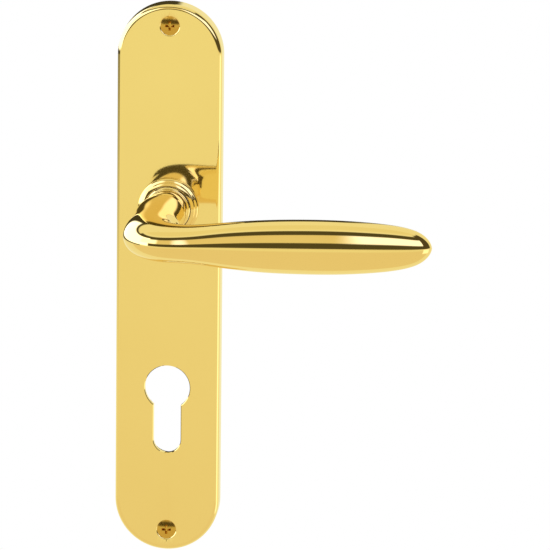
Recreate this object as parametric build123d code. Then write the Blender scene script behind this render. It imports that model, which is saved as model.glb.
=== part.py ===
"""Lever door handle on a long backplate, cut out for a euro-profile lock cylinder.

Everything is drawn lying on its back: X to the lever's side, Y up the door, and Z is the height
above the door face.  export_piece() then stands each piece upright, so that +Z is up and the
handle's front faces -Y.  The origin is on the spindle's axis, at the door face.  Millimetres.
"""
from build123d import *
import os
from math import asin, cos, degrees, hypot, radians, sin

# --- Backplate -------------------------------------------------------------------------------
plate_width = 40.5
plate_above = 80.0          # spindle axis to the plate's top
plate_below = 137.5         # spindle axis to the plate's bottom
plate_depth = 8.0
face_wall = 2.0
rim_wall = 2.0
rim_radius = 1.9            # rounding of the front edge
face_inside = plate_depth - face_wall

# --- Fixing screws, raised countersunk --------------------------------------------------------
fixing_inset = 8.3          # screw centre to the end of the plate
fixing_thread = 2.0         # radius, from the door face on
fixing_shank = 1.8          # radius of the plain part, which the captive washer holds
fixing_head = 3.7           # radius
fixing_sink = 0.2           # head's rim below the plate's face
fixing_dome = 0.5           # rise of the oval head
fixing_reach = 22.0         # shank beyond the door face
fixing_clearance = 0.15
cross_width = 0.9
cross_length = 3.8
cross_depth = 1.4
washer_radius = 4.2
washer_thickness = 0.7

# --- Euro-profile cylinder cut-out ---------------------------------------------------------------
lock_centres = 72.0         # spindle to cylinder
lock_radius = 8.8
lock_web = 10.7             # width of the narrow part
lock_height = 35.0          # whole cut-out
frame_setback = 1.5         # backing frame stands back from the cut-out

# --- Spindle and its grub screw -----------------------------------------------------------------
spindle_side = 8.0
spindle_reach = 60.0        # beyond the door face
spindle_gap = 0.05
spindle_chamfer = 0.8
spindle_corner = hypot(spindle_side, spindle_side) / 2
grub_radius = 2.5
grub_height = 21.0          # above the door face
grub_length = 3.8
grub_socket = 1.25          # hexagon, half across flats

# --- Lever ------------------------------------------------------------------------------------
loose_gap = 0.3             # curved faces that pass without guiding
running_gap = 0.05          # radial, shaft in its bush
end_play = 0.1
socket_wall = 1.35          # round the spindle's corners
journal_radius = spindle_corner + socket_wall
neck_radius = journal_radius + 1.0
shoulder_height = 1.5
tail_radius = journal_radius - 0.1
tail_flats = spindle_side / 2 + spindle_gap + 1.45      # half across the flats
socket_depth = 34.0         # from the door face
lever_travel = 40.0         # degrees, pressed down

# Control sections of the handgrip, from the neck to the nose, which a cubic B-spline blends into
# one smooth body.  Each row is x, height above the plate's face, shift up the door, turn of the
# section from facing front (0) to facing the nose (90), half width in the plane of the bend, and
# half height up the door.
lever_rows = (
    (0.0, 3.9, 0.0, 0.0, neck_radius, neck_radius),
    (-0.4, 9.0, 0.3, 0.0, 8.4, 8.0),
    (-1.3, 17.0, 0.4, 0.0, 9.7, 8.2),
    (-1.5, 25.0, 0.2, 0.0, 9.4, 8.3),
    (-1.4, 32.5, -0.5, 6.0, 9.4, 8.3),
    (-2.4, 41.6, -1.2, 39.0, 13.4, 8.2),
    (2.8, 49.2, -1.9, 73.0, 9.9, 7.6),
    (14.3, 49.4, -2.2, 89.0, 6.8, 7.1),
    (27.3, 49.5, -2.1, 90.0, 6.8, 8.9),
    (41.4, 49.3, -2.0, 90.3, 7.1, 10.2),
    (55.4, 48.9, -1.8, 90.9, 7.2, 10.6),
    (69.5, 48.3, -1.7, 91.5, 7.0, 10.6),
    (82.6, 47.5, -1.6, 92.0, 6.6, 9.85),
    (93.5, 46.7, -1.5, 93.0, 5.9, 8.7),
    (101.8, 46.0, -1.4, 94.0, 4.7, 6.5),
    (105.7, 45.6, -1.4, 94.0, 2.0, 2.5),
    (106.2, 45.5, -1.4, 94.0, 0.0, 0.0),
)
steps_per_row = 2
bend_middle = 12            # the section where the neck's loft meets the grip's

# --- Collar, bush and thrust washer -----------------------------------------------------------
bush_wall = 2.0
collar_bore = journal_radius + bush_wall
collar_spigot = collar_bore + 0.9       # pressed into the plate
collar_radius = collar_spigot + 1.8
collar_rise = 3.3           # above the plate's face
collar_land = 1.3           # width of the lower, outer land
collar_land_rise = 2.2
collar_slope = 0.35         # fall of each land towards its outside
collar_edge = 0.4
shoulder_radius = collar_bore - loose_gap
bush_flange = collar_spigot + 0.3
bush_flange_thickness = 0.6
bush_drop = 1.2             # bush end below the collar's top
thrust_thickness = 0.4

# --- Return spring, driver and housing, from the middle outwards ------------------------------------
ring_thickness = 1.0        # retaining ring
ring_height = 3.3
ring_groove = journal_radius - 0.5
ring_radius = journal_radius + 1.6
spring_washer_thickness = 0.35
wire_radius = 0.5
housing_hole = bush_flange + 0.2
coil_radius = housing_hole + wire_radius + 0.25
coil_turns = 2.0
coil_pitch = 1.02
coil_start = 2.87           # height of the lowest wire's centre
coil_bend = 0.9             # reach of the bends into the two legs
driver_radius = coil_radius + wire_radius + 0.55
driver_back = 1.1
driver_thickness = 1.1
stop_radius = 1.2           # stop pins
stop_circle = driver_radius + loose_gap + stop_radius
stop_gap = 0.2              # degrees
ear_radius = stop_circle + 1.3
ear_half_angle = 12.0
housing_wall = 0.6
housing_radius = ear_radius + 0.4 + housing_wall
housing_floor = 0.5
housing_back = 0.95
cover_back = 0.15
cover_corner = 3.0
cover_hole = spindle_corner + 0.75
cover_screw_at = (housing_radius - 3.2, housing_radius + 1.6)
cover_screw_head = 1.8
cover_screw_shank = 1.0
cover_screw_end = 5.2
cover_width = 2 * housing_radius + 1.0
cover_height = 2 * cover_screw_at[1] + 6.8

# --- Backing frame ----------------------------------------------------------------------------
frame_gap = 0.25            # all round, inside the rim
frame_back = 0.3            # above the door face
frame_web = 1.6
frame_rib = 1.6
frame_fit = 0.05            # round the spring housing
pillar_radius = 5.0
rib_heights = (61.5, 46.0, 27.0, -28.0, -46.0, -55.0, -104.0, -118.5)
frame_screws_at = (54.0, 36.0, -37.0, -111.5)
frame_screw_shank = 1.25
frame_screw_head = 2.6
frame_screw_back = 1.2
frame_screw_head_height = 1.2
frame_screw_reach = 2.9
tower_radius = 4.4
tower_land = 0.8
boss_radius = 2.5
boss_gap = 0.1

plate_end = plate_width / 2
top_screw = plate_above - fixing_inset
bottom_screw = fixing_inset - plate_below
fixing_points = ((0, top_screw), (0, bottom_screw))
collar_top = plate_depth + collar_rise
bush_top = collar_top - bush_drop
shoulder_base = bush_top + thrust_thickness + end_play
bush_end = face_inside - bush_flange_thickness
ear_middle = 90 + lever_travel / 2


# --- Small helpers ----------------------------------------------------------------------------
def slab(profile, low, high):
    """A flat profile made solid between two heights above the door face."""
    return extrude(Pos(0, 0, low) * profile, high - low)


def disc(radius, low, high, at=(0, 0)):
    return slab(Pos(*at) * Circle(radius), low, high)


def ring(outer, inner, low, high, at=(0, 0)):
    return disc(outer, low, high, at) - disc(inner, low, high, at)


def turned(points, at=(0, 0)):
    """A turned piece from its outline of (radius, height) points."""
    outline = make_face(Polyline([(radius, 0, height) for radius, height in points], close=True))
    return Pos(*at) * revolve(outline, Axis.Z)


def polar(radius, angle):
    return radius * cos(radians(angle)), radius * sin(radians(angle))


def sector(radius, middle, half_angle):
    """A pie slice with its point on the spindle's axis."""
    far = radius / cos(radians(half_angle))
    corners = [(0, 0), polar(far, middle - half_angle), polar(far, middle + half_angle)]
    return Circle(radius) & make_face(Polyline(corners, close=True))


def plate_outline(inset=0.0):
    """The plate's outline, straight sides with round ends, drawn in by an inset."""
    length = plate_above + plate_below
    middle = (plate_above - plate_below) / 2
    slot = SlotOverall(length - 2 * inset, plate_width - 2 * inset, rotation=90)
    return Pos(0, middle) * slot


def lock_outline(margin=0.0):
    """The euro-profile cut-out: a round part over a narrower web with a round end."""
    web_radius = lock_web / 2
    web_end = lock_radius - lock_height + web_radius
    web = Pos(0, web_end / 2) * Rectangle(lock_web + 2 * margin, -web_end)
    shape = Circle(lock_radius + margin) + web + Pos(0, web_end) * Circle(web_radius + margin)
    return Pos(0, -lock_centres) * shape


def countersink(head, shank, top, at):
    """Cutter for a 90 degree countersink that opens upwards, with its through hole."""
    depth = head - shank
    above = 1.0
    points = [(0, -above), (shank, -above), (shank, top - depth), (head + above, top + above),
              (0, top + above)]
    return turned(points, at)


# --- Backplate and what is pressed into it -------------------------------------------------------
def make_backplate():
    plate = slab(plate_outline(), 0, plate_depth)
    plate = fillet(plate.faces().sort_by(Axis.Z)[-1].edges(), rim_radius)
    plate -= slab(plate_outline(rim_wall), 0, face_inside)
    plate -= disc(collar_spigot, 0, plate_depth)
    plate -= slab(lock_outline(), 0, plate_depth)
    for point in fixing_points:
        mouth = fixing_head + fixing_sink
        plate -= countersink(mouth, fixing_thread + fixing_clearance, plate_depth, point)
    boss_low = frame_screw_back + frame_screw_head_height + tower_land
    for height in frame_screws_at:
        plate += disc(boss_radius, boss_low, face_inside, (0, height))
        plate -= disc(frame_screw_shank, boss_low, boss_low + frame_screw_reach, (0, height))
    return plate


def make_neck_collar():
    face = plate_depth
    land = collar_radius - collar_land
    land_top = face + collar_land_rise
    outer_top = land_top - collar_slope
    points = [(collar_bore, face_inside), (collar_spigot, face_inside), (collar_spigot, face),
              (collar_radius, face), (collar_radius, outer_top - collar_edge),
              (collar_radius - collar_edge, outer_top), (land, land_top),
              (land - collar_edge / 4, collar_top - collar_slope), (collar_bore, collar_top)]
    return turned(points)


def make_neck_bush():
    flange = disc(bush_flange, bush_end, face_inside)
    return flange + disc(collar_bore, face_inside, bush_top) - disc(journal_radius + running_gap,
                                                                    bush_end, bush_top)


def make_thrust_washer():
    return ring(shoulder_radius, journal_radius + loose_gap, bush_top,
                bush_top + thrust_thickness)


# --- Fixing screws ----------------------------------------------------------------------------
def make_fixing_screw(point):
    rim = plate_depth - fixing_sink
    neck = rim - (fixing_head - fixing_shank)
    end = -fixing_reach
    tip = 0.6
    outline = Polyline((fixing_head, 0, rim), (fixing_shank, 0, neck),
                       (fixing_shank, 0, 0), (fixing_thread, 0, 0),
                       (fixing_thread, 0, end + tip), (fixing_thread - tip, 0, end), (0, 0, end),
                       (0, 0, rim + fixing_dome))
    rise = (fixing_dome + fixing_head**2 / fixing_dome) / 2
    middle_angle = asin(fixing_head / rise) / 2
    middle = (rise * sin(middle_angle), 0, rim + fixing_dome - rise * (1 - cos(middle_angle)))
    dome = ThreePointArc((0, 0, rim + fixing_dome), middle, (fixing_head, 0, rim))
    screw = revolve(make_face(outline + dome), Axis.Z)
    top = rim + fixing_dome
    cross = Rectangle(cross_length, cross_width) + Rectangle(cross_width, cross_length)
    return Pos(*point) * (screw - slab(cross, top - cross_depth, top))


def make_captive_washer(point):
    low = frame_back
    return ring(washer_radius, fixing_shank, low, low + washer_thickness, point)


# --- Lever ------------------------------------------------------------------------------------
def smooth_rows():
    """Rows along the uniform cubic B-spline whose control rows are lever_rows."""
    first, last = lever_rows[0], lever_rows[-1]
    control = [first, first, *lever_rows, last, last]
    rows = []
    for start in range(len(control) - 3):
        for step in range(steps_per_row):
            t = step / steps_per_row
            weights = ((1 - t)**3, 3 * t**3 - 6 * t**2 + 4, -3 * t**3 + 3 * t**2 + 3 * t + 1, t**3)
            four = control[start:start + 4]
            rows.append([sum(w * v for w, v in zip(weights, column)) / 6 for column in zip(*four)])
    return rows


def lever_section(row):
    x, height, drop, turn, half_width, half_height = row
    across = (cos(radians(turn)), 0, -sin(radians(turn)))
    ahead = (sin(radians(turn)), 0, cos(radians(turn)))
    plane = Plane(origin=(x, drop, plate_depth + height), x_dir=across, z_dir=ahead)
    return plane * Ellipse(half_width, half_height)


def tail_profile(gap=0.0):
    side = 2 * (tail_flats + gap)
    return Rectangle(side, side) & Circle(tail_radius + gap)


def make_lever():
    neck_base = plate_depth + lever_rows[0][1]
    sections = [lever_section(row) for row in smooth_rows()]
    lever = loft(sections[:bend_middle + 1]) + loft(sections[bend_middle:])
    lever += disc(shoulder_radius, shoulder_base, shoulder_base + shoulder_height)
    lever += disc(lever_rows[0][4], shoulder_base, neck_base)
    tail_top = driver_back + driver_thickness + end_play
    lever += disc(journal_radius, tail_top, shoulder_base)
    lever += slab(tail_profile(), driver_back, tail_top)
    groove = ring_thickness + running_gap
    lever -= ring(journal_radius + 1, ring_groove, ring_height, ring_height + groove)
    socket = spindle_side + 2 * spindle_gap
    lever -= slab(Rectangle(socket, socket), driver_back, socket_depth)
    depth = spindle_side / 2
    lever -= Pos(0, 0, grub_height) * Rot(90, 0, 0) * Pos(0, 0, depth) * Cylinder(
        grub_radius, 2 * depth, align=(Align.CENTER, Align.CENTER, Align.MIN))
    return lever


def make_grub_screw():
    bottom = Align.CENTER, Align.CENTER, Align.MIN
    screw = Cylinder(grub_radius, grub_length, align=bottom)
    hexagon = RegularPolygon(grub_socket, 6, major_radius=False)
    screw -= slab(hexagon, grub_length / 2, grub_length)
    return Pos(0, 0, grub_height) * Rot(90, 0, 0) * Pos(0, 0, spindle_side / 2) * screw


def make_spindle():
    spindle = slab(Rectangle(spindle_side, spindle_side), -spindle_reach, socket_depth - 0.5)
    ends = spindle.faces().sort_by(Axis.Z)
    return chamfer(ends[0].edges() + ends[-1].edges(), spindle_chamfer)


# --- Return mechanism ---------------------------------------------------------------------------
def make_spring_housing():
    housing = disc(housing_radius, housing_back, face_inside)
    housing -= disc(housing_radius - housing_wall, housing_back, face_inside - housing_floor)
    housing -= disc(housing_hole, housing_back, face_inside)
    top_wire = coil_start + coil_turns * coil_pitch
    window = Rectangle(2 * housing_wall + 2, 3 * wire_radius)
    window = Rot(0, 0, ear_middle) * Pos(housing_radius, 0) * window
    housing -= slab(window, top_wire - wire_radius - 0.1, face_inside - housing_floor)
    for angle in stop_angles():
        housing -= disc(stop_radius, housing_back, face_inside, polar(stop_circle, angle))
    return housing


def stop_angles():
    """Where the two stop pins stand so that the driver's ear meets one at each end of travel."""
    pin_half_angle = degrees(asin(stop_radius / stop_circle)) + stop_gap
    rest_side = ear_middle + ear_half_angle + pin_half_angle
    pressed_side = ear_middle - lever_travel - ear_half_angle - pin_half_angle
    return rest_side, pressed_side


def make_stop_pin(angle):
    return disc(stop_radius, driver_back, face_inside, polar(stop_circle, angle))


def make_driver():
    top = driver_back + driver_thickness
    driver = disc(driver_radius, driver_back, top)
    driver += slab(sector(ear_radius, ear_middle, ear_half_angle), driver_back, top)
    driver -= slab(tail_profile(running_gap), driver_back, top)
    hole = wire_radius + 0.2
    return driver - disc(hole, driver_back, top, polar(coil_radius, ear_middle))


def spring_path():
    """Points along the spring's wire: low leg, coil, top leg, as if the driver's hole lay on +X."""
    bend_angle = degrees(coil_bend / coil_radius)
    end_angle = 360 * coil_turns
    top = coil_start + coil_pitch * coil_turns
    low_end = coil_start - coil_bend
    points = [(coil_radius, 0, driver_back), (coil_radius, 0, low_end)]
    for part in (0.35, 0.7):
        x, y = polar(coil_radius, part**2 * bend_angle)
        points.append((x, y, coil_start - coil_bend * (1 - part)**1.6))
    steps = round(coil_turns * 20)
    for step in range(steps + 1):
        angle = bend_angle + (end_angle - 2 * bend_angle) * step / steps
        x, y = polar(coil_radius, angle)
        points.append((x, y, coil_start + coil_pitch * angle / 360))
    for part in (0.35, 0.7):
        reach = coil_radius + coil_bend * part**2
        x, y = polar(reach, end_angle - bend_angle * (1 - part)**1.6)
        points.append((x, y, top))
    points += [(*polar(reach, end_angle), top) for reach in (coil_radius + coil_bend, housing_radius)]
    return [Vector(*point) for point in points]


def make_return_spring():
    """Torsion spring: the low leg drops into the driver, the top leg goes out to the housing."""
    path = spring_path()
    sections = []
    for index, point in enumerate(path):
        before, after = path[max(index - 1, 0)], path[min(index + 1, len(path) - 1)]
        ahead = (after - before).normalized()
        side = Vector(1, 0, 0) if index == 0 else ahead.cross(Vector(0, 0, 1)).normalized()
        sections.append(Plane(origin=point, x_dir=side, z_dir=ahead) * Circle(wire_radius))
    return Rot(0, 0, ear_middle) * loft(sections, ruled=True)


def make_retaining_ring():
    low, high = ring_height + running_gap / 2, ring_height + running_gap / 2 + ring_thickness
    gap_half_angle = 28
    ear_angle = gap_half_angle + 10
    ear_circle = ring_radius - 0.6
    clip = ring(ring_radius, ring_groove, low, high)
    clip -= slab(sector(ring_radius + 1, -90, gap_half_angle), low, high)
    for side in (-1, 1):
        at = polar(ear_circle, -90 + side * ear_angle)
        clip += disc(1.3, low, high, at) - disc(journal_radius, low, high)
        clip -= disc(0.6, low, high, at)
    return clip


def make_spring_washer():
    """A dished washer that takes up the end play between retaining ring and bush."""
    low = ring_height + running_gap / 2 + ring_thickness
    high = bush_end - running_gap
    inner, outer = journal_radius + loose_gap, bush_flange - 0.5
    thick = spring_washer_thickness
    return turned([(inner, low), (outer, high - thick), (outer, high), (inner, low + thick)])


def make_spring_cover():
    outline = RectangleRounded(cover_width, cover_height, cover_corner) - Circle(cover_hole)
    cover = slab(outline, cover_back, housing_back)
    for point in corner_points():
        cover -= mirrored_countersink(point)
    return cover


def corner_points():
    x, y = cover_screw_at
    return [(side * x, end * y) for side in (-1, 1) for end in (-1, 1)]


def mirrored_countersink(point):
    """Countersink cutter for the cover's screws, which go in from the door's side."""
    cone = cover_screw_head - cover_screw_shank
    high = plate_depth
    points = [(0, cover_back), (cover_screw_head, cover_back),
              (cover_screw_shank, cover_back + cone), (cover_screw_shank, high), (0, high)]
    return turned(points, point)


def make_cover_screw(point):
    cone = cover_screw_head - cover_screw_shank
    tip = 0.8
    points = [(0, cover_back), (cover_screw_head, cover_back),
              (cover_screw_shank, cover_back + cone), (cover_screw_shank, cover_screw_end - tip),
              (0.2, cover_screw_end), (0, cover_screw_end)]
    cross = Rectangle(1.8, 0.5) + Rectangle(0.5, 1.8)
    screw = turned(points) - slab(cross, cover_back, cover_back + 0.5)
    return Pos(*point) * screw


# --- Backing frame ----------------------------------------------------------------------------
def make_backing_frame():
    edge = rim_wall + frame_gap
    inner_half = plate_end - edge
    web_low = face_inside - frame_web
    outline = plate_outline(edge)
    frame = slab(outline, web_low, face_inside)
    frame += slab(outline - plate_outline(edge + frame_rib), frame_back, face_inside)
    block = Rectangle(2 * inner_half, cover_height + 2 * frame_rib) & outline
    frame += slab(block, frame_back, face_inside)
    frame += slab(lock_outline(frame_setback + frame_rib), frame_back, face_inside)
    for height in rib_heights:
        rib = Pos(0, height) * Rectangle(2 * inner_half, frame_rib) & outline
        frame += slab(rib, frame_back + 1, face_inside)
    for point in fixing_points:
        frame += disc(pillar_radius, frame_back, face_inside, point)
    head_top = frame_screw_back + frame_screw_head_height
    for height in frame_screws_at:
        frame += disc(tower_radius, frame_screw_back, face_inside, (0, height))
    frame -= slab(lock_outline(frame_setback), frame_back, face_inside)
    frame -= disc(housing_radius + frame_fit, frame_back, face_inside)
    cover = RectangleRounded(cover_width + 2 * frame_fit, cover_height + 2 * frame_fit, cover_corner)
    frame -= slab(cover, frame_back, housing_back)
    for point in fixing_points:
        frame -= disc(fixing_thread + fixing_clearance, frame_back, face_inside, point)
        frame -= disc(washer_radius + frame_fit, frame_back, frame_back + washer_thickness, point)
    for height in frame_screws_at:
        at = (0, height)
        frame -= disc(frame_screw_head + boss_gap, frame_back, head_top, at)
        frame -= disc(frame_screw_shank + boss_gap, head_top, face_inside, at)
        frame -= disc(boss_radius + boss_gap, head_top + tower_land, face_inside, at)
    for point in corner_points():
        frame -= disc(cover_screw_shank, frame_back, face_inside - 0.4, point)
    return frame


def make_frame_screw(height):
    head_top = frame_screw_back + frame_screw_head_height
    end = head_top + tower_land + frame_screw_reach
    tip = 0.8
    points = [(0, frame_screw_back), (frame_screw_head, frame_screw_back),
              (frame_screw_head, head_top), (frame_screw_shank, head_top),
              (frame_screw_shank, end - tip), (0.3, end), (0, end)]
    cross = Rectangle(2.8, 0.7) + Rectangle(0.7, 2.8)
    screw = turned(points) - slab(cross, frame_screw_back, frame_screw_back + 0.8)
    return Pos(0, height) * screw


# --- Export -----------------------------------------------------------------------------------
def export_piece(name, shape):
    """Stand a piece, or a list of identical ones, upright and write it as one file."""
    os.makedirs("parts", exist_ok=True)
    solids = [Rot(90, 0, 0) * solid for piece in shape for solid in piece.solids()]
    export_step(Compound(solids), f"parts/{name}.step")


pieces = {
    "backplate": [make_backplate()],
    "neck_collar": [make_neck_collar()],
    "neck_bush": [make_neck_bush()],
    "thrust_washer": [make_thrust_washer()],
    "backing_frame": [make_backing_frame()],
    "frame_screws": [make_frame_screw(height) for height in frame_screws_at],
    "fixing_screws": [make_fixing_screw(point) for point in fixing_points],
    "captive_washers": [make_captive_washer(point) for point in fixing_points],
    "spring_housing": [make_spring_housing()],
    "stop_pins": [make_stop_pin(angle) for angle in stop_angles()],
    "spring_cover": [make_spring_cover()],
    "cover_screws": [make_cover_screw(point) for point in corner_points()],
    "return_spring": [make_return_spring()],
    "lever": [make_lever()],
    "grub_screw": [make_grub_screw()],
    "spindle": [make_spindle()],
    "driver": [make_driver()],
    "retaining_ring": [make_retaining_ring()],
    "spring_washer": [make_spring_washer()],
}
for name, shape in pieces.items():
    export_piece(name, shape)
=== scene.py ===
# %% [markdown]
# # A brass lever handle on its backplate
# The object is door furniture: a cast lever turns in a collar on a long plate, and the plate is
# screwed over the lock.  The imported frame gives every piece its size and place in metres, so this
# lesson only adds finishes, smoother surfaces and light.

# %% Load the frame
from math import asin, ceil, cos, pi, radians, sin

import bmesh
import bpy
from mathutils import Matrix, Vector


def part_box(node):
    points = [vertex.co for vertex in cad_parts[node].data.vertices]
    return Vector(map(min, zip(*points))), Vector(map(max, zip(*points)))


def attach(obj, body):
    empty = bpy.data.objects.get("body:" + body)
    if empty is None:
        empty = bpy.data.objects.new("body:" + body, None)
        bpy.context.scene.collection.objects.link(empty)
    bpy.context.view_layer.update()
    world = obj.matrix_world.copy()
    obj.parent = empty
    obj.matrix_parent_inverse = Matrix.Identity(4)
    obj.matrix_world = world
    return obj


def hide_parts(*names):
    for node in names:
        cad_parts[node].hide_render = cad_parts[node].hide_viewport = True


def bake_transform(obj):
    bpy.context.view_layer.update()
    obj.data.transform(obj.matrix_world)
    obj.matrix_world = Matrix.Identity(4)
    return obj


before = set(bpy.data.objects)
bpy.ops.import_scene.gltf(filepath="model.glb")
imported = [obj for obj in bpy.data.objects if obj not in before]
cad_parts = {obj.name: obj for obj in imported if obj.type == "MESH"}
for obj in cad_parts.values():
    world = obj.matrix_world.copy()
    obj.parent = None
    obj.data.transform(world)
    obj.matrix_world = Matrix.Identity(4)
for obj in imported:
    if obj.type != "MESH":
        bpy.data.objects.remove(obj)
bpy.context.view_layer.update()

MM = 0.001

# %% [markdown]
# ## Where the main surfaces lie
# The front of the handle faces -Y and the spindle's axis is the Y axis.  Everything below measures
# height as the distance in front of the door face, which is -Y, so sizes read as they would on a
# bench.  The sizes come from the frame's own boxes, and a few that a box can't tell are named.

# %% Sizes read from the frame
plate_low, plate_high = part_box("backplate")
collar_low, collar_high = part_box("neck_collar")
screw_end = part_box("fixing_screws")[1].y
plate_half = (plate_high.x - plate_low.x) / 2
plate_depth = -plate_low.y
face_wall = 2.0 * MM
rim_wall = 2.0 * MM
rim_radius = 1.9 * MM
lock_centre = -72.0 * MM
lock_radius = 8.8 * MM
lock_web_radius = 5.35 * MM
lock_bottom = lock_centre + lock_radius - 35.0 * MM
fixing_inset = 8.3 * MM
fixing_heights = (plate_high.z - fixing_inset, plate_low.z + fixing_inset)
collar_radius = collar_high.x
collar_top = -collar_low.y
overrun = 1.0 * MM  # how far a cutter stands past the face that it cuts
print(f"plate {2000 * plate_half:.1f} x {1000 * (plate_high.z - plate_low.z):.1f} mm, "
      f"collar {2000 * collar_radius:.1f} mm across")


# %% [markdown]
# ## The camera
# A long lens from far away keeps the plate's sides parallel.  It looks a little from the right and
# from above, at a point between the lever's nose and the cut-out.

# %% Camera
view_azimuth = radians(6.0)
view_elevation = radians(14.0)
view_roll = radians(0.60)
view_distance = 3.0
view_lens = 508.35
aim_right = 41.4 * MM
aim_down = 25.65 * MM


def place_camera():
    toward = Vector((sin(view_azimuth) * cos(view_elevation),
                     -cos(view_azimuth) * cos(view_elevation), sin(view_elevation)))
    right = Vector((cos(view_azimuth), sin(view_azimuth), 0))
    up = toward.cross(right)
    target = Vector((0, -plate_depth, 0)) + right * aim_right - up * aim_down
    data = bpy.data.cameras.new("catalogue_camera")
    data.lens = view_lens
    data.sensor_width = 36
    data.clip_end = 50
    camera = bpy.data.objects.new("catalogue_camera", data)
    turned_right = right * cos(view_roll) + up * sin(view_roll)
    turned_up = up * cos(view_roll) - right * sin(view_roll)
    facing = Matrix((turned_right, turned_up, toward)).transposed().to_4x4()
    camera.matrix_world = Matrix.Translation(target + toward * view_distance) @ facing
    bpy.context.scene.collection.objects.link(camera)
    bpy.context.scene.camera = camera
    return camera


camera = place_camera()
print("camera at", [round(v, 3) for v in camera.matrix_world.translation])


# %% [markdown]
# ## Two helpers for every material
# Paint charts give colours as sRGB hex, but shaders want linear light, so one function converts
# them.  The other adds a shader node with its settings and links in one call.

# %% Colour and node helpers
def linear(hex_code):
    """Linear RGBA from an sRGB hex colour such as "d9b45a"."""
    channels = [int(hex_code[i:i + 2], 16) / 255 for i in (0, 2, 4)]
    bent = [c / 12.92 if c <= 0.04045 else ((c + 0.055) / 1.055)**2.4 for c in channels]
    return (*bent, 1.0)


def add(tree, kind, settings=None, inputs=None):
    """Add a node.  Each input is a value, or another node's output socket to link from."""
    made = tree.nodes.new(kind)
    for name, value in (settings or {}).items():
        setattr(made, name, value)
    for name, value in (inputs or {}).items():
        if isinstance(value, bpy.types.NodeSocket):
            tree.links.new(value, made.inputs[name])
        else:
            made.inputs[name].default_value = value
    return made


def new_material(name, **uniform):
    """A material with a Principled shader whose uniform values sit on its own sockets."""
    material = bpy.data.materials.new(name)
    material.use_nodes = True
    shader = material.node_tree.nodes["Principled BSDF"]
    for socket, value in uniform.items():
        shader.inputs[socket.replace("_", " ")].default_value = value
    return material, material.node_tree, shader


# %% [markdown]
# ## Polished, lacquered brass
# The plate, collar and lever are yellow brass, buffed on soft wheels and then sprayed with clear
# lacquer.  The buffing leaves a near mirror whose faint waves and hairlines soften what it
# reflects, and the lacquer is a thin second shine on top.  A plain metal shader with one roughness
# looks like plastic foil, so the roughness and the tint vary slowly and a fine bump gives the
# hairlines.  The hairlines of a buffing wheel are about 0.05 mm apart; they are drawn 0.4 mm apart,
# because finer ones would not show at this distance.

# %% Polished brass
def polished_brass(name, tint, deep_tint, hairline_axis, roughness):
    material, tree, shader = new_material(name, Metallic=1.0, Coat_Weight=0.35, Coat_Roughness=0.03)
    place = add(tree, "ShaderNodeTexCoord").outputs["Object"]
    patches = add(tree, "ShaderNodeTexNoise", inputs={
        "Vector": place, "Scale": 1 / (35 * MM), "Detail": 3.0, "Roughness": 0.5})
    colour = add(tree, "ShaderNodeMix", {"data_type": "RGBA"}, {
        "Factor": patches.outputs["Fac"], "A": linear(tint), "B": linear(deep_tint)})
    tree.links.new(colour.outputs["Result"], shader.inputs["Base Color"])
    stretch = [1.0, 1.0, 1.0]
    stretch[hairline_axis] = 0.02
    drawn = add(tree, "ShaderNodeMapping", inputs={"Vector": place, "Scale": stretch})
    hairlines = add(tree, "ShaderNodeTexNoise", inputs={
        "Vector": drawn.outputs["Vector"], "Scale": 1 / (0.4 * MM), "Detail": 2.0})
    spread = add(tree, "ShaderNodeMapRange", inputs={
        "Value": hairlines.outputs["Fac"], "From Min": 0.3, "From Max": 0.7,
        "To Min": roughness * 0.7, "To Max": roughness * 1.3})
    tree.links.new(spread.outputs["Result"], shader.inputs["Roughness"])
    waves = add(tree, "ShaderNodeTexNoise", inputs={
        "Vector": place, "Scale": 1 / (14 * MM), "Detail": 1.0})
    height = add(tree, "ShaderNodeMath", {"operation": "MULTIPLY_ADD"}, {
        0: hairlines.outputs["Fac"], 1: 0.01, 2: waves.outputs["Fac"]})
    bump = add(tree, "ShaderNodeBump", inputs={
        "Strength": 0.02, "Distance": 0.2 * MM, "Height": height.outputs["Value"]})
    tree.links.new(bump.outputs["Normal"], shader.inputs["Normal"])
    return material


X_AXIS, Y_AXIS, Z_AXIS = 0, 1, 2
plate_brass = polished_brass("polished_brass_plate", "f8e4a7", "f5dfa0", Z_AXIS, 0.05)
lever_brass = polished_brass("polished_brass_lever", "f8e4a7", "f4dc9c", X_AXIS, 0.04)
collar_brass = polished_brass("polished_brass_collar", "f6e0a2", "f2d998", Y_AXIS, 0.05)
print("brass finishes:", plate_brass.name, lever_brass.name, collar_brass.name)


# %% [markdown]
# ## The hidden metals and plastics
# Behind the plate the finishes are plain workshop ones: zinc plating, pressed steel with a yellow
# passivated skin, oil-tempered spring wire, black oxide, natural acetal and black glass-filled
# nylon.  Each gets a grain of its own real size and a slight change of colour, because no plated or
# moulded surface is perfectly even.

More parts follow.
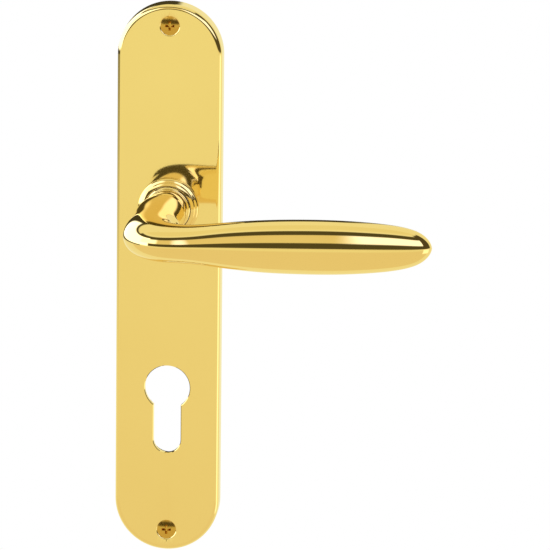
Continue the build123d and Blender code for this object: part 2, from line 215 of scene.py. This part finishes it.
# %% Workshop finishes
def grained(name, tint, other_tint, grain_mm, bump_mm, roughness, **uniform):
    """A finish whose colour, roughness and bump all follow one grain of a real size."""
    material, tree, shader = new_material(name, **uniform)
    place = add(tree, "ShaderNodeTexCoord").outputs["Object"]
    grain = add(tree, "ShaderNodeTexNoise", inputs={
        "Vector": place, "Scale": 1 / (grain_mm * MM), "Detail": 4.0, "Roughness": 0.6})
    broad = add(tree, "ShaderNodeTexNoise", inputs={
        "Vector": place, "Scale": 1 / (12 * MM), "Detail": 2.0})
    colour = add(tree, "ShaderNodeMix", {"data_type": "RGBA"}, {
        "Factor": broad.outputs["Fac"], "A": linear(tint), "B": linear(other_tint)})
    tree.links.new(colour.outputs["Result"], shader.inputs["Base Color"])
    spread = add(tree, "ShaderNodeMapRange", inputs={
        "Value": grain.outputs["Fac"], "To Min": roughness * 0.8, "To Max": roughness * 1.2})
    tree.links.new(spread.outputs["Result"], shader.inputs["Roughness"])
    bump = add(tree, "ShaderNodeBump", inputs={
        "Strength": 0.5, "Distance": bump_mm * MM, "Height": grain.outputs["Fac"]})
    tree.links.new(bump.outputs["Normal"], shader.inputs["Normal"])
    return material


zinc_plate = grained("bright_zinc_plate", "b9bcbf", "a9adb2", 0.25, 0.01, 0.28, Metallic=1.0)
passivated = grained("yellow_passivated_steel", "b3a878", "a59f86", 0.4, 0.01, 0.34, Metallic=1.0)
spring_wire = grained("oil_tempered_wire", "5b5c60", "47484c", 0.2, 0.01, 0.36, Metallic=1.0)
black_oxide = grained("black_oxide_steel", "2b2c2f", "232427", 0.3, 0.01, 0.4, Metallic=1.0)
acetal = grained("natural_acetal", "e4e2da", "dcd9cf", 0.8, 0.02, 0.42, IOR=1.48)
nylon = grained("glass_filled_nylon", "1d1e20", "26272a", 0.35, 0.03, 0.55, IOR=1.53)
screw_brass = grained("brass_plated_screw", "d9b45f", "cda650", 0.3, 0.004, 0.16, Metallic=1.0)
workshop = (zinc_plate, passivated, spring_wire, black_oxide, acetal, nylon, screw_brass)
print("workshop finishes:", [finish.name for finish in workshop])


# %% [markdown]
# ## Surfaces made of rings
# Turned pieces, wires and the cast lever are all a row of closed rings joined by four-sided faces.
# Modelling them this way, instead of carving a block, keeps the mesh even, so the mirror finish
# shows smooth reflections.  A ring may also be a single point, which closes an end.

# %% Ring surfaces
def skin(rings):
    """Vertices and faces of a closed surface through rings; a ring of one point closes an end."""
    points, faces, starts = [], [], []
    for ring in rings:
        starts.append(len(points))
        points.extend(ring)
    for ring, following, start, after in zip(rings, rings[1:], starts, starts[1:]):
        count = max(len(ring), len(following))
        for i in range(count):
            j = (i + 1) % count
            corners = [start + i % len(ring), start + j % len(ring),
                       after + j % len(following), after + i % len(following)]
            faces.append(list(dict.fromkeys(corners)))
    return points, faces


def outward_mesh(name, surface):
    """A mesh from points and faces, with every face turned outwards."""
    points, faces = surface
    mesh = bpy.data.meshes.new(name)
    mesh.from_pydata([tuple(p) for p in points], [], faces)
    tidy = bmesh.new()
    tidy.from_mesh(mesh)
    bmesh.ops.recalc_face_normals(tidy, faces=tidy.faces)
    tidy.to_mesh(mesh)
    tidy.free()
    return mesh


def placed(name, mesh):
    """A mesh as an object in the scene."""
    made = bpy.data.objects.new(name, mesh)
    bpy.context.scene.collection.objects.link(made)
    return made


def make_piece(name, surface, material, body, stands_for=(), sharp_angle=35):
    """A smooth mesh piece that rides on a body; edges sharper than the angle stay crisp."""
    mesh = outward_mesh(name, surface)
    mesh.materials.append(material)
    piece = placed(name, mesh)
    finish_shading(piece, sharp_angle)
    if body:
        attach(piece, body)
    if stands_for:
        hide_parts(*stands_for)
    print(f"{name}: {len(mesh.vertices)} points, {len(mesh.polygons)} faces")
    return piece


def finish_shading(piece, sharp_angle):
    piece.data.shade_smooth()
    piece.data.set_sharp_from_angle(angle=radians(sharp_angle))


def circle(radius, height, count=96, centre=(0, 0)):
    """A ring round the Y axis at a height in front of the door face."""
    turns = (2 * pi * i / count for i in range(count))
    return [Vector((centre[0] + radius * cos(t), -height, centre[1] + radius * sin(t)))
            for t in turns]


def rounded(corners, radius, steps=4):
    """A profile of (radius, height) corners with each inner corner rounded off."""
    soft = [corners[0]]
    for before, corner, after in zip(corners, corners[1:], corners[2:]):
        one, here, two = Vector(before), Vector(corner), Vector(after)
        reach = min(radius, 0.45 * (one - here).length, 0.45 * (two - here).length)
        start, end = here + (one - here).normalized() * reach, here + (two - here).normalized() * reach
        for step in range(steps + 1):
            t = step / steps
            soft.append(tuple(start * (1 - t)**2 + here * 2 * t * (1 - t) + end * t**2))
    return soft + [corners[-1]]


def turned(profile, count=96, centre=(0, 0)):
    """A turned surface; profile points on the axis close its ends."""
    rings = []
    for radius, height in profile:
        if radius < 1e-7:
            rings.append([Vector((centre[0], -height, centre[1]))])
        else:
            rings.append(circle(radius, height, count, centre))
    return skin(rings)


# %% [markdown]
# ## The lever
# The lever is cast, then linished to a slim spindle shape.  Its body is a stack of oval sections
# whose places and sizes are blended by a cubic B-spline, which keeps even the rate of bending
# smooth, so a reflected line runs down the grip with no kink.  Subdividing a rough cage could look
# alike, but sections let each millimetre be stated.  Below the neck come the parts that are turned:
# the shoulder, the journal with its groove, and the tail with its flats and square socket.

# %% Lever sections
# x, height above the plate, shift up the door, turn from facing front to the nose in degrees,
# half width in the plane of the bend, half height up the door.
lever_rows = (
    (0.0, 3.9, 0.0, 0.0, 8.007, 8.007),
    (-0.4, 9.0, 0.3, 0.0, 8.4, 8.0),
    (-1.3, 17.0, 0.4, 0.0, 9.7, 8.2),
    (-1.5, 25.0, 0.2, 0.0, 9.4, 8.3),
    (-1.4, 32.5, -0.5, 6.0, 9.4, 8.3),
    (-2.4, 41.6, -1.2, 39.0, 13.4, 8.2),
    (2.8, 49.2, -1.9, 73.0, 9.9, 7.6),
    (14.3, 49.4, -2.2, 89.0, 6.8, 7.1),
    (27.3, 49.5, -2.1, 90.0, 6.8, 8.9),
    (41.4, 49.3, -2.0, 90.3, 7.1, 10.2),
    (55.4, 48.9, -1.8, 90.9, 7.2, 10.6),
    (69.5, 48.3, -1.7, 91.5, 7.0, 10.6),
    (82.6, 47.5, -1.6, 92.0, 6.6, 9.85),
    (93.5, 46.7, -1.5, 93.0, 5.9, 8.7),
    (101.8, 46.0, -1.4, 94.0, 4.7, 6.5),
    (105.7, 45.6, -1.4, 94.0, 2.0, 2.5),
    (106.2, 45.5, -1.4, 94.0, 0.0, 0.0),
)
lever_count = 128
rings_per_row = 12


def blended(rows, steps):
    """Rows along the uniform cubic B-spline that these rows control, ends included."""
    control = [rows[0], rows[0], *rows, rows[-1], rows[-1]]
    for start in range(len(control) - 3):
        for step in range(steps):
            t = step / steps
            weights = ((1 - t)**3, 3 * t**3 - 6 * t**2 + 4, -3 * t**3 + 3 * t**2 + 3 * t + 1, t**3)
            yield [sum(w * v for w, v in zip(weights, column)) / 6
                   for column in zip(*control[start:start + 4])]


def oval(row, count):
    """One section of the handgrip as a ring."""
    x, height, shift, turn, half_width, half_height = row
    ring = []
    for i in range(count):
        across, up = half_width * cos(2 * pi * i / count), half_height * sin(2 * pi * i / count)
        ring.append(Vector((x + across * cos(radians(turn)),
                            across * sin(radians(turn)) - height, shift + up)) * MM
                    - Vector((0, plate_depth, 0)))
    return ring


def flatted(radius, flats, height, count):
    """A round with four flats milled on it, as a ring."""
    ring = []
    for i in range(count):
        angle = 2 * pi * i / count
        reach = min(radius, flats / max(abs(cos(angle)), abs(sin(angle))))
        ring.append(Vector((reach * cos(angle), -height, reach * sin(angle))))
    return ring


# %% Lever body
def lever_surface():
    journal, groove, shoulder = 7.007 * MM, 6.507 * MM, 8.707 * MM
    socket, socket_end = 4.05 * MM, 34.0 * MM
    tail_back, tail_front, shoulder_base = 1.1 * MM, 2.3 * MM, 10.6 * MM
    groove_back, groove_front = 3.3 * MM, 4.35 * MM
    edge = 0.15 * MM
    n = lever_count
    rings = [[Vector((0, -socket_end, 0))]]
    rings += [flatted(1.0, socket, h, n) for h in (socket_end, tail_back + 0.4 * MM)]
    rings += [flatted(1.0, socket + 0.4 * MM, tail_back, n)]
    tail, flats = 6.907 * MM, 5.5 * MM
    rings += [flatted(tail - edge, flats - edge, tail_back, n)]
    rings += [flatted(tail, flats, h, n) for h in (tail_back + edge, tail_front)]
    neck_start = plate_depth + lever_rows[0][1] * MM
    profile = [(journal, tail_front), (journal, groove_back), (groove, groove_back),
               (groove, groove_front), (journal, groove_front), (journal, shoulder_base),
               (shoulder - edge, shoulder_base),
               (shoulder, shoulder_base + edge), (shoulder, neck_start - 0.5 * MM),
               (shoulder - 0.25 * MM, neck_start - 0.15 * MM), (8.25 * MM, neck_start - 0.02 * MM)]
    rings += [circle(radius, height, n) for radius, height in profile]
    rows = list(blended(lever_rows, rings_per_row))
    rings += [oval(row, n) for row in rows if row[5] > 0.05]
    rings.append([oval(lever_rows[-1], 1)[0]])
    return skin(rings)


lever = make_piece("lever_body", lever_surface(), lever_brass, "lever", ["lever"])


# %% [markdown]
# ## The grub screw's hole
# A grub screw under the neck clamps the spindle.  Its hole is drilled with a boolean, because a
# drilled hole cuts straight across the rings of a curved neck.

# %% Drill the grub screw's hole
def cut(piece, cutters, sharp_angle=35):
    """Subtract cutter objects from a piece, for good, and delete the cutters."""
    for cutter in cutters:
        modifier = piece.modifiers.new("cut", "BOOLEAN")
        modifier.operation = "DIFFERENCE"
        modifier.solver = "EXACT"
        modifier.object = cutter
    bpy.context.view_layer.update()
    shaped = piece.evaluated_get(bpy.context.evaluated_depsgraph_get())
    mesh = bpy.data.meshes.new_from_object(shaped)
    piece.modifiers.clear()
    piece.data = mesh
    finish_shading(piece, sharp_angle)
    for cutter in cutters:
        bpy.data.objects.remove(cutter)


def cutter(name, surface):
    return placed(name, outward_mesh(name, surface))


grub_low, grub_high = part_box("grub_screw")
grub_height = -(grub_low.y + grub_high.y) / 2
drill_radius = grub_high.x + 0.1 * MM
drill_start, drill_end = -3 * MM, -12 * MM
drill_sides = 48
drill = [[Vector((0, -grub_height, z))] if closed else
         [Vector((drill_radius * cos(a), -grub_height + drill_radius * sin(a), z))
          for a in (2 * pi * i / drill_sides for i in range(drill_sides))]
         for z, closed in ((drill_start, True), (drill_start, False), (drill_end, False),
                           (drill_end, True))]
cut(lever, [cutter("drill", skin(drill))])
print("lever after drilling:", len(lever.data.polygons), "faces")


# %% [markdown]
# ## The backplate
# The plate is a shallow brass pan with a rounded front edge.  Its outline is two half circles
# joined by straight sides, so each ring of the pan is that outline drawn in by an inset, and the
# rounded edge is a quarter circle of such rings.  The holes are cut last, and the shading is
# weighted by face size, which keeps the big front face optically flat right up to its edges.

# %% Backplate pan
end_steps = 48


def plate_ring(inset, height):
    """The plate's outline drawn in by an inset, at a height in front of the door face."""
    radius = plate_half - inset
    ring = []
    for centre, start in ((plate_high.z - plate_half, 0), (plate_low.z + plate_half, pi)):
        for step in range(end_steps + 1):
            angle = start + pi * step / end_steps
            ring.append(Vector((radius * cos(angle), -height, centre + radius * sin(angle))))
    return ring


def pan_surface():
    edge = 0.2 * MM
    inner_face = plate_depth - face_wall
    middle = Vector((0, 0, (plate_high.z + plate_low.z) / 2))
    rings = [[middle - Vector((0, inner_face, 0))], plate_ring(rim_wall, inner_face),
             plate_ring(rim_wall, edge), plate_ring(rim_wall - edge, 0), plate_ring(edge, 0),
             plate_ring(0, edge)]
    round_steps = 12
    for step in range(round_steps + 1):
        turn = pi / 2 * step / round_steps
        rings.append(plate_ring(rim_radius * (1 - cos(turn)),
                                plate_depth - rim_radius * (1 - sin(turn))))
    return skin(rings + [[middle - Vector((0, plate_depth, 0))]])


plate = make_piece("brass_backplate", pan_surface(), plate_brass, "plate",
                   ["backplate"])


# %% [markdown]
# ## The cut-out and the screw seats
# The cut-out follows the profile of a euro cylinder: a round part over a narrower web.  Its edge is
# broken by a tiny chamfer, as a press tool and a buffing wheel leave it, which gives the thin
# bright line round the hole.

# %% Cut the plate's holes
def lock_ring(margin, height, steps=64):
    """The euro-profile outline grown by a margin."""
    big, small = lock_radius + margin, lock_web_radius + margin
    meet = asin(small / big)
    web_end = lock_bottom + lock_web_radius
    ring = []
    for step in range(steps + 1):
        angle = -pi / 2 + meet + (2 * pi - 2 * meet) * step / steps
        ring.append(Vector((big * cos(angle), -height, lock_centre + big * sin(angle))))
    for step in range(steps // 2 + 1):
        angle = pi + pi * step / (steps // 2)
        ring.append(Vector((small * cos(angle), -height, web_end + small * sin(angle))))
    return ring


def capped(rings):
    """Close a stack of rings with a point at each end."""
    ends = [sum(ring, Vector()) / len(ring) for ring in (rings[0], rings[-1])]
    return skin([[ends[0]], *rings, [ends[1]]])


def screw_seat(height):
    """A cutter for a 90 degree countersink with its clearance hole."""
    hole, mouth = 2.15 * MM, 3.9 * MM
    break_edge = 0.12 * MM
    profile = [(0, 0), (hole, 0), (hole, plate_depth - (mouth - hole)),
               (mouth - break_edge, plate_depth - break_edge), (mouth + break_edge * 2, plate_depth),
               (mouth + break_edge * 2, plate_depth + overrun), (0, plate_depth + overrun)]
    return turned(profile, 64, (0, height))


edge_break = 0.22 * MM
lock_cut = capped([lock_ring(0, 0), lock_ring(0, plate_depth - edge_break),
                   lock_ring(edge_break, plate_depth), lock_ring(edge_break, plate_depth + overrun)])
seat_radius = 9.9 * MM
collar_seat = turned([(0, 0), (seat_radius, 0), (seat_radius, plate_depth + overrun),
                      (0, plate_depth + overrun)])
cut(plate, [cutter("lock_cut", lock_cut), cutter("collar_seat", collar_seat),
            *[cutter("screw_seat", screw_seat(height)) for height in fixing_heights]])
weighted = plate.modifiers.new("even_shading", "WEIGHTED_NORMAL")
weighted.keep_sharp = True
print("plate faces after cutting:", len(plate.data.polygons))


# %% [markdown]
# ## The stepped collar
# The collar is turned brass pressed into the plate.  Its steps are a profile spun round the
# spindle's axis, with every corner rounded a little, since a polished edge is never quite sharp.

# %% Collar
bore = 9.007 * MM
spigot = 9.907 * MM
land = collar_radius - 1.3 * MM
land_top = plate_depth + 2.2 * MM
fall, edge = 0.35 * MM, 0.4 * MM
inner_face = plate_depth - face_wall
collar_profile = [
    (bore, inner_face), (spigot, inner_face), (spigot, plate_depth), (collar_radius, plate_depth),
    (collar_radius, land_top - fall - edge), (collar_radius - edge, land_top - fall),
    (land, land_top), (land - edge / 4, collar_top - fall), (bore, collar_top), (bore, inner_face)]
corner_round = 0.18 * MM
collar = make_piece("stepped_collar", turned(rounded(collar_profile, corner_round), 160),
                    collar_brass, "plate", ["neck_collar"], 50)


# %% [markdown]
# ## The fixing screws
# Two raised countersunk screws hold the plate.  The head is turned with a low dome, the cross
# recess is cut into it, and the thread is a real helix: the radius of each ring point depends on
# how far round and how far along it is, which winds the ridge without a separate sweep.

# %% Fixing screws
thread_pitch = 0.7 * MM
thread_depth = 0.32 * MM
thread_radius = 2.0 * MM
shank_radius = 1.8 * MM


def screw_surface(height):
    rim = plate_depth - 0.2 * MM
    head = 3.7 * MM
    dome = 0.5 * MM
    sphere = (dome + head**2 / dome) / 2
    steps, count = 10, 64
    rings = [[Vector((0, -(rim + dome), height))]]
    for step in range(1, steps + 1):
        angle = asin(head / sphere) * step / steps
        rings.append(circle(sphere * sin(angle), rim + dome - sphere * (1 - cos(angle)), count,
                            (0, height)))
    rings.append(circle(head, rim - 0.12 * MM, count, (0, height)))
    neck = rim - (head - shank_radius)
    rings += [circle(shank_radius, h, count, (0, height)) for h in (neck, 0)]
    start, end = 0, screw_end
    turns_along = int(ceil((end - start) / (thread_pitch / 8)))
    for step in range(turns_along + 1):
        y = start + (end - start) * step / turns_along
        fade = min(1.0, step / 10, (turns_along - step) / 6 + 0.2)
        ring = []
        for i in range(count):
            phase = (y / thread_pitch + i / count) % 1.0
            ridge = 1 - abs(2 * phase - 1)
            radius = thread_radius - thread_depth * fade * (1 - ridge)
            angle = 2 * pi * i / count
            ring.append(Vector((radius * cos(angle), y, height + radius * sin(angle))))
        rings.append(ring)
    rings.append([Vector((0, end, height))])
    return skin(rings)


def cross_cutter(height):
    """Two crossed wedges that taper to the recess floor."""
    top = plate_depth + 0.6 * MM
    floor = plate_depth - 1.1 * MM
    tools = []
    for turn in (0, radians(90)):
        rings = []
        for depth, half_length, half_width in ((floor, 0.9 * MM, 0.3 * MM), (top, 2.1 * MM, 0.5 * MM)):
            corners = [(half_length, half_width), (-half_length, half_width),
                       (-half_length, -half_width), (half_length, -half_width)]
            rings.append([Vector((a * cos(turn) - b * sin(turn), -depth,
                                  height + a * sin(turn) + b * cos(turn))) for a, b in corners])
        tools.append(cutter("cross_recess", capped(rings)))
    return tools


for number, height in enumerate(fixing_heights):
    name = f"fixing_screw_{('top', 'bottom')[number]}"
    screw = make_piece(name, screw_surface(height), screw_brass, "plate",
                       ["fixing_screws"])
    cut(screw, cross_cutter(height))


# %% [markdown]
# ## The return spring
# A torsion spring of 1 mm wire brings the lever back up.  Its low leg drops into the driver, which
# turns with the lever, and its top leg hooks through the fixed housing.  The wire is a tube of
# rings along a path, in its rest shape, and it is tied to neither body.

# %% Return spring
wire = 0.5 * MM
coil_radius = 11.15 * MM
coil_turns = 2.0
coil_pitch = 1.02 * MM
coil_low = 2.87 * MM
driver_back = 1.1 * MM
hook_reach = 15.9 * MM
spring_turn = radians(110)


def spring_path():
    def around(radius, angle, height):
        turn = spring_turn + angle
        return Vector((radius * cos(turn), -height, radius * sin(turn)))

    bend = 0.9 * MM
    path = [around(coil_radius, 0, driver_back), around(coil_radius, 0, coil_low - bend)]
    for step in range(1, 5):
        t = step / 5
        path.append(around(coil_radius, t * t * bend / coil_radius, coil_low - bend * (1 - t)**1.6))
    first = bend / coil_radius
    last = 2 * pi * coil_turns - bend / coil_radius
    steps = 140
    for step in range(steps + 1):
        angle = first + (last - first) * step / steps
        path.append(around(coil_radius, angle, coil_low + coil_pitch * angle / (2 * pi)))
    top = coil_low + coil_pitch * coil_turns
    for step in range(1, 6):
        t = step / 5
        path.append(around(coil_radius + bend * t * t, last + (2 * t - t * t) * bend / coil_radius, top))
    path.append(around(hook_reach, 2 * pi * coil_turns, top))
    return path


def tube(path, radius, count=16):
    """Rings along a path, each turned as little as it can be from the one before."""
    rings = [[path[0]]]
    side = None
    for index, point in enumerate(path):
        ahead = (path[min(index + 1, len(path) - 1)] - path[max(index - 1, 0)]).normalized()
        if side is None:
            side = ahead.orthogonal().normalized()
        side = (side - ahead * side.dot(ahead)).normalized()
        other = ahead.cross(side)
        rings.append([point + (side * cos(a) + other * sin(a)) * radius
                      for a in (2 * pi * i / count for i in range(count))])
    return skin(rings + [[path[-1]]])


spring = make_piece("torsion_spring", tube(spring_path(), wire), spring_wire, None,
                    ["return_spring"])
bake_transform(spring)


# %% [markdown]
# ## Pieces kept from the frame
# The stamped, moulded and turned pieces behind the plate have the right shape already.  A copy of
# each gets its edges broken by a small bevel, because light catches every real edge.

# %% Soften the edges of the working pieces
def soften(node, material, body, width):
    """A copy of a frame piece with its sharp edges bevelled by a width."""
    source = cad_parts[node]
    mesh = source.data.copy()
    tidy = bmesh.new()
    tidy.from_mesh(mesh)
    bmesh.ops.remove_doubles(tidy, verts=tidy.verts, dist=0.002 * MM)
    bmesh.ops.dissolve_limit(tidy, angle_limit=radians(0.5), verts=tidy.verts, edges=tidy.edges)
    tidy.to_mesh(mesh)
    tidy.free()
    mesh.materials.clear()
    mesh.materials.append(material)
    piece = placed(f"{node}_finished", mesh)
    bevel = piece.modifiers.new("broken_edges", "BEVEL")
    bevel.width = width
    bevel.segments = 2
    bevel.limit_method = "ANGLE"
    bevel.angle_limit = radians(40)
    bevel.use_clamp_overlap = True
    finish_shading(piece, 40)
    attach(piece, body)
    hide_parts(node)
    return piece


working_pieces = (
    ("backing_frame", nylon, "filled_nylon", "plate", 0.15),
    ("neck_bush", acetal, "acetal", "plate", 0.08),
    ("thrust_washer", acetal, "acetal", "plate", 0.05),
    ("captive_washers", acetal, "acetal", "plate", 0.08),
    ("spring_housing", passivated, "pressed_steel", "plate", 0.06),
    ("spring_cover", passivated, "pressed_steel", "plate", 0.08),
    ("stop_pins", zinc_plate, "zinc_steel", "plate", 0.08),
    ("frame_screws", zinc_plate, "zinc_steel", "plate", 0.05),
    ("cover_screws", zinc_plate, "zinc_steel", "plate", 0.04),
    ("grub_screw", black_oxide, "blackened_steel", "lever", 0.08),
    ("spindle", zinc_plate, "zinc_steel", "lever", 0.25),
    ("driver", passivated, "pressed_steel", "lever", 0.08),
    ("retaining_ring", black_oxide, "blackened_steel", "lever", 0.06),
    ("spring_washer", spring_wire, "spring_steel", "lever", 0.04),
)
for node, material, slot, body, width in working_pieces:
    soften(node, material, body, width * MM)
print("softened pieces:", len(working_pieces))


# %% [markdown]
# ## Studio
# Polished metal shows its surroundings, so the studio is designed as what the brass should mirror.
# It is painted straight onto the sky as warm bands of elevation: a table below, a dark gap at
# camera height, a bright wall, another gap, and the ceiling.  The two gaps become the two dark
# lines along the grip.  Softboxes and black flags are rectangles of azimuth and elevation laid over
# the bands; azimuth is 0 towards the viewer and grows to the right.  Lamps would do the same job,
# but a painted sky gives a mirror no noise.

# %% Bands and cards of light
table = (0.87, 0.74, 0.40)
gap = (0.09, 0.075, 0.03)
ceiling = (0.90, 0.82, 0.45)
bands = ((-90, table), (-17, table), (-12, (0.94, 0.88, 0.50)), (-7, (0.90, 0.80, 0.44)),
         (-5.5, gap), (9.5, gap), (11.5, (0.86, 0.73, 0.36)), (36, (0.84, 0.70, 0.34)),
         (38.5, gap), (53, gap), (56, (1.0, 0.95, 0.62)), (66, ceiling), (90, ceiling))
# name, azimuth from and to, elevation from and to, softness in degrees, colour
cards = (("room behind", (88, 272), (-90, 90), 8, (0.95, 0.90, 0.56)),
         ("left flag", (-178, -60), (-13, 48), 4, (0.06, 0.05, 0.02)),
         ("left box", (-152, -36), (-7, 42), 5, (2.2, 2.2, 2.1)),
         ("left box, front part", (-60, -16), (12, 37), 9, (1.7, 1.7, 1.5)),
         ("right box", (5, 62), (10, 37), 5, (1.5, 1.5, 1.6)),
         ("right flag", (62, 110), (-6, 60), 5, (0.09, 0.07, 0.03)),
         ("right table edge", (60, 96), (-30, -9), 6, (1.4, 1.35, 1.0)))


def within(tree, value, low, high, softness):
    """1 where a value in degrees is between two limits, falling softly to 0 outside."""
    def rise(at, sign):
        return add(tree, "ShaderNodeMapRange", {"interpolation_type": "SMOOTHSTEP"}, {
            "Value": value, "From Min": at - sign * softness / 2,
            "From Max": at + sign * softness / 2}).outputs["Result"]
    return add(tree, "ShaderNodeMath", {"operation": "MULTIPLY"}, {
        0: rise(low, 1), 1: rise(high, -1)}).outputs["Value"]


def in_degrees(tree, operation, inputs):
    angle = add(tree, "ShaderNodeMath", {"operation": operation}, inputs)
    return add(tree, "ShaderNodeMath", {"operation": "DEGREES"}, {
        0: angle.outputs["Value"]}).outputs["Value"]


def build_world():
    world = bpy.data.worlds.new("studio")
    bpy.context.scene.world = world
    world.use_nodes = True
    tree = world.node_tree
    tree.nodes.clear()
    direction = add(tree, "ShaderNodeTexCoord").outputs["Generated"]
    split = add(tree, "ShaderNodeSeparateXYZ", inputs={0: direction})
    towards = add(tree, "ShaderNodeMath", {"operation": "MULTIPLY"}, {0: split.outputs["Y"], 1: -1.0})
    elevation = in_degrees(tree, "ARCSINE", {0: split.outputs["Z"]})
    azimuth = in_degrees(tree, "ARCTAN2", {0: split.outputs["X"], 1: towards.outputs["Value"]})
    ramp = add(tree, "ShaderNodeValToRGB", inputs={
        "Fac": add(tree, "ShaderNodeMapRange", inputs={
            "Value": elevation, "From Min": -90.0, "From Max": 90.0}).outputs["Result"]})
    for index, (height, colour) in enumerate(bands):
        position = (height + 90) / 180
        stops = ramp.color_ramp.elements
        stop = stops[index] if index < 2 else stops.new(position)
        stop.position = position
        stop.color = (*colour, 1)
    seen = ramp.outputs["Color"]
    for name, (left, right), (low, high), softness, colour in cards:
        inside = within(tree, azimuth, left, right, softness)
        if right > 180:
            mirrored = within(tree, azimuth, left - 360, right - 360, softness)
            inside = add(tree, "ShaderNodeMath", {"operation": "MAXIMUM"}, {
                0: inside, 1: mirrored}).outputs["Value"]
        share = add(tree, "ShaderNodeMath", {"operation": "MULTIPLY"}, {
            0: inside, 1: within(tree, elevation, low, high, softness)}).outputs["Value"]
        mix = add(tree, "ShaderNodeMix", {"data_type": "RGBA", "label": name}, {
            "Factor": share, "A": seen, "B": (*colour, 1)})
        seen = mix.outputs["Result"]
    backdrop = add(tree, "ShaderNodeMix", {"data_type": "RGBA"}, {
        "Factor": add(tree, "ShaderNodeLightPath").outputs["Is Camera Ray"], "A": seen,
        "B": (1.0, 1.0, 1.0, 1)})
    light = add(tree, "ShaderNodeBackground", inputs={"Color": backdrop.outputs["Result"]})
    output = add(tree, "ShaderNodeOutputWorld")
    tree.links.new(light.outputs["Background"], output.inputs["Surface"])


build_world()
bpy.context.scene.view_settings.view_transform = "Standard"
print("sky cards:", [card[0] for card in cards])
